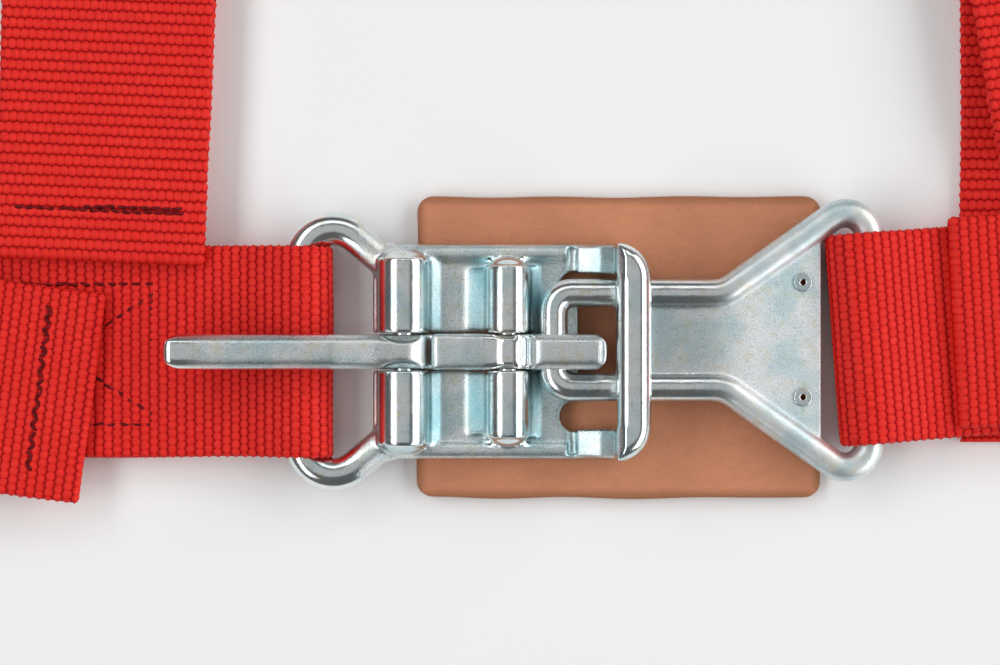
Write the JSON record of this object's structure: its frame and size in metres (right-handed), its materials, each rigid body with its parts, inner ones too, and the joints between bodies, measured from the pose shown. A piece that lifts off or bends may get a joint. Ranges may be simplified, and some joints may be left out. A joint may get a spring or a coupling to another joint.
{
  "type": "racing harness",
  "caption": "Webbing harness of lap and shoulder belts, closed by a lever latch and link over a leather pad, with pull adjusters and bolt-in brackets.",
  "frame": {"origin": "on the leather pad's underside, straight below the hook's pin", "axes": "+X along the lap belts from the latch to the link, +Y towards the shoulder belts, +Z away from the wearer"},
  "size_m": [0.7782, 0.3825, 0.022],
  "materials": {
    "plated_steel": "bright zinc plating on forged steel",
    "webbing": "coarse woven polyester, slight sheen",
    "thread": "dark sewing thread",
    "leather": "natural tan leather, smooth side up"
  },
  "bodies": {
    "latch": {"latch_frame": "plated_steel", "lever_pin": "plated_steel", "hook_pin": "plated_steel"},
    "lever": {"release_lever": "plated_steel"},
    "hook": {"hook": "plated_steel"},
    "link": {"link": "plated_steel", "link_eyelets": "plated_steel"},
    "pad": {"leather_pad": "leather"},
    "left_belts": {"left_lap_inner_strap": "webbing", "left_lap_adjuster_frame": "plated_steel", "left_lap_inner_stitching": "thread", "left_shoulder_inner_strap": "webbing", "left_shoulder_adjuster_frame": "plated_steel", "left_shoulder_inner_stitching": "thread"},
    "right_belts": {"right_lap_inner_strap": "webbing", "right_lap_adjuster_frame": "plated_steel", "right_lap_inner_stitching": "thread", "right_shoulder_inner_strap": "webbing", "right_shoulder_adjuster_frame": "plated_steel", "right_shoulder_inner_stitching": "thread"},
    "left_lap_lock": {"left_lap_lock_bar": "plated_steel"},
    "left_lap_outer": {"left_lap_outer_strap": "webbing", "left_lap_outer_stitching": "thread"},
    "left_lap_bracket": {"left_lap_anchor_bracket": "plated_steel"},
    "right_lap_lock": {"right_lap_lock_bar": "plated_steel"},
    "right_lap_outer": {"right_lap_outer_strap": "webbing", "right_lap_outer_stitching": "thread"},
    "right_lap_bracket": {"right_lap_anchor_bracket": "plated_steel"},
    "left_shoulder_lock": {"left_shoulder_lock_bar": "plated_steel"},
    "left_shoulder_outer": {"left_shoulder_outer_strap": "webbing", "left_shoulder_outer_stitching": "thread"},
    "left_shoulder_bracket": {"left_shoulder_anchor_bracket": "plated_steel"},
    "right_shoulder_lock": {"right_shoulder_lock_bar": "plated_steel"},
    "right_shoulder_outer": {"right_shoulder_outer_strap": "webbing", "right_shoulder_outer_stitching": "thread"},
    "right_shoulder_bracket": {"right_shoulder_anchor_bracket": "plated_steel"}
  },
  "joints": [
    {"name": "lever_lift", "type": "hinge", "parent": "latch", "child": "lever", "pos_m": [-0.025, 0, 0.011], "axis": [0, 1, 0], "range_deg": [0, 100]},
    {"name": "hook_lift", "type": "hinge", "parent": "latch", "child": "hook", "pos_m": [0, 0, 0.011], "axis": [0, -1, 0], "range_deg": [0, 25]},
    {"name": "link_rock", "type": "hinge", "parent": "latch", "child": "link", "pos_m": [0.0109, 0.00275, 0.011], "axis": [0, -1, 0], "range_deg": [-0.4, 3.2]},
    {"name": "left_belt_swing", "type": "hinge", "parent": "latch", "child": "left_belts", "pos_m": [-0.05, 0, 0.0067], "axis": [0, -1, 0], "range_deg": [0, 60]},
    {"name": "right_belt_swing", "type": "hinge", "parent": "link", "child": "right_belts", "pos_m": [0.08708, 0.0032, 0.0067], "axis": [0, 1, 0], "range_deg": [-60, 60]},
    {"name": "pad_slide", "type": "slide", "parent": "latch", "child": "pad", "axis": [0, -1, 0], "range_m": [0, 0.08]},
    {"name": "left_lap_lock_slide", "type": "slide", "parent": "left_belts", "child": "left_lap_lock", "axis": [1, 0, 0], "range_m": [0, 0.0025]},
    {"name": "left_lap_outer_fold", "type": "hinge", "parent": "left_belts", "child": "left_lap_outer", "pos_m": [-0.219, 0, 0.00535], "axis": [0, 1, 0], "range_deg": [-60, 75]},
    {"name": "left_lap_bracket_swing", "type": "hinge", "parent": "left_lap_outer", "child": "left_lap_bracket", "pos_m": [-0.329, 0, 0.00615], "axis": [0, 1, 0], "range_deg": [-75, 75]},
    {"name": "right_lap_lock_slide", "type": "slide", "parent": "right_belts", "child": "right_lap_lock", "axis": [-0.9969, -0.0785, 0], "range_m": [0, 0.0025]},
    {"name": "right_lap_outer_fold", "type": "hinge", "parent": "right_belts", "child": "right_lap_outer", "pos_m": [0.23562, 0.01489, 0.00535], "axis": [0.0785, -0.9969, 0], "range_deg": [-60, 75]},
    {"name": "right_lap_bracket_swing", "type": "hinge", "parent": "right_lap_outer", "child": "right_lap_bracket", "pos_m": [0.34528, 0.02352, 0.00615], "axis": [0.0785, -0.9969, 0], "range_deg": [-75, 75]},
    {"name": "left_shoulder_lock_slide", "type": "slide", "parent": "left_belts", "child": "left_shoulder_lock", "axis": [-0.0488, -0.9988, 0], "range_m": [0, 0.0025]},
    {"name": "left_shoulder_outer_fold", "type": "hinge", "parent": "left_belts", "child": "left_shoulder_outer", "pos_m": [-0.09151, 0.18378, 0.00535], "axis": [0.9988, -0.0488, 0], "range_deg": [-60, 75]},
    {"name": "left_shoulder_bracket_swing", "type": "hinge", "parent": "left_shoulder_outer", "child": "left_shoulder_bracket", "pos_m": [-0.08614, 0.29365, 0.00615], "axis": [0.9988, -0.0488, 0], "range_deg": [-75, 75]},
    {"name": "right_shoulder_lock_slide", "type": "slide", "parent": "right_belts", "child": "right_shoulder_lock", "axis": [0, -1, 0], "range_m": [0, 0.0025]},
    {"name": "right_shoulder_outer_fold", "type": "hinge", "parent": "right_belts", "child": "right_shoulder_outer", "pos_m": [0.1355, 0.184, 0.00535], "axis": [1, 0, 0], "range_deg": [-60, 75]},
    {"name": "right_shoulder_bracket_swing", "type": "hinge", "parent": "right_shoulder_outer", "child": "right_shoulder_bracket", "pos_m": [0.1355, 0.294, 0.00615], "axis": [1, 0, 0], "range_deg": [-75, 75]}
  ],
  "couplings": [
    {"joint": "hook_lift", "follows": "lever_lift", "ratio": 0.25}
  ]
}
